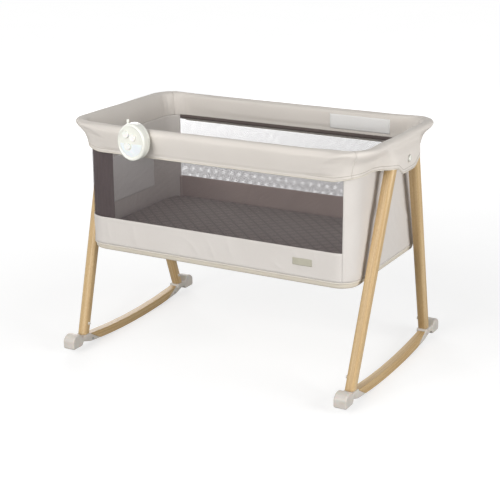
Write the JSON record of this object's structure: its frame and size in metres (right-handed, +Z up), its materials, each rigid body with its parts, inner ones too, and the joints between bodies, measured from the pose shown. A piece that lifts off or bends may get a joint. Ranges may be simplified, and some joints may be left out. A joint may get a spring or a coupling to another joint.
{
  "type": "bassinet",
  "caption": "Rocking bassinet: a cloth basket with mesh windows and a padded rail on splayed wooden legs and curved rockers, with a clip-on sound and light unit.",
  "frame": {"origin": "on the floor, under the middle of the bassinet", "axes": "+X along the length to the right end, the front side faces -Y, +Z up"},
  "size_m": [0.965, 0.674, 0.7148],
  "materials": {
    "cloth": "cream woven polyester over foam",
    "mesh": "dark taupe open warp-knit mesh",
    "quilted_cover": "grey-brown quilted polyester",
    "light_wood": "pale beech, clear satin lacquer",
    "foot_plastic": "taupe-grey moulded, fine matt",
    "hub_plastic": "cream moulded",
    "gloss_plastic": "cream-white moulded, glossy",
    "lamp_plastic": "milky translucent lens",
    "button_rubber": "pale soft-touch",
    "steel": "zinc-plated steel",
    "board_wood": "plain fibreboard",
    "blank_patch": "white woven label stock, blank",
    "woven_tag": "olive-beige woven tag, blank",
    "circuit": "green circuit board"
  },
  "bodies": {
    "cradle": {"front_lower_panel": "cloth", "back_lower_panel": "cloth", "right_end_panel": "cloth", "left_end_panel": "cloth", "rail_pad_front": "cloth", "rail_pad_back": "cloth", "rail_pad_right": "cloth", "rail_pad_left": "cloth", "rail_piping": "cloth", "base_tray": "cloth", "base_piping": "cloth", "front_mesh_window": "mesh", "back_mesh_window": "mesh", "rocker_right": "light_wood", "rocker_left": "light_wood", "leg_front_right": "light_wood", "leg_front_left": "light_wood", "leg_back_right": "light_wood", "leg_back_left": "light_wood", "foot_front_right": "foot_plastic", "foot_front_left": "foot_plastic", "foot_back_right": "foot_plastic", "foot_back_left": "foot_plastic", "hub_right": "hub_plastic", "hub_left": "hub_plastic", "leg_plug_front_right": "gloss_plastic", "leg_plug_front_left": "gloss_plastic", "leg_plug_back_right": "gloss_plastic", "leg_plug_back_left": "gloss_plastic", "rail_tube_front": "steel", "rail_tube_back": "steel", "base_wire_frame": "steel", "base_cross_bar_right": "steel", "base_cross_bar_left": "steel", "foot_screw_front_right": "steel", "foot_screw_front_left": "steel", "foot_screw_back_right": "steel", "foot_screw_back_left": "steel", "base_board": "board_wood", "end_wall_patch": "blank_patch", "rail_patch": "blank_patch", "front_tag": "woven_tag"},
    "mattress": {"mattress_pad": "quilted_cover"},
    "power_button": {"unit_power_button": "button_rubber"},
    "sound_button": {"unit_sound_button": "button_rubber"},
    "light_button": {"unit_light_button": "button_rubber"},
    "release_right": {"release_button_right": "gloss_plastic"},
    "release_left": {"release_button_left": "gloss_plastic"},
    "sound_unit": {"unit_back_shell": "gloss_plastic", "unit_front_shell": "gloss_plastic", "unit_lamp_lens": "lamp_plastic", "unit_battery_hatch": "gloss_plastic", "unit_battery_upper": "steel", "unit_battery_lower": "steel", "unit_circuit_board": "circuit", "unit_speaker": "steel", "unit_clip": "gloss_plastic"}
  },
  "joints": [
    {"name": "mattress_lift", "type": "slide", "parent": "cradle", "child": "mattress", "axis": [0, 0, 1], "range_m": [0, 0.36]},
    {"name": "sound_unit_lift", "type": "slide", "parent": "cradle", "child": "sound_unit", "axis": [0, 0, 1], "range_m": [0, 0.045]},
    {"name": "power_button_press", "type": "slide", "parent": "sound_unit", "child": "power_button", "axis": [0, 1, 0], "range_m": [0, 0.0012], "stiffness_N_per_m": 600},
    {"name": "sound_button_press", "type": "slide", "parent": "sound_unit", "child": "sound_button", "axis": [0, 1, 0], "range_m": [0, 0.0012], "stiffness_N_per_m": 600},
    {"name": "light_button_press", "type": "slide", "parent": "sound_unit", "child": "light_button", "axis": [0, 1, 0], "range_m": [0, 0.0012], "stiffness_N_per_m": 600},
    {"name": "release_right_press", "type": "slide", "parent": "cradle", "child": "release_right", "axis": [-1, 0, 0], "range_m": [0, 0.003], "stiffness_N_per_m": 900},
    {"name": "release_left_press", "type": "slide", "parent": "cradle", "child": "release_left", "axis": [1, 0, 0], "range_m": [0, 0.003], "stiffness_N_per_m": 900}
  ]
}
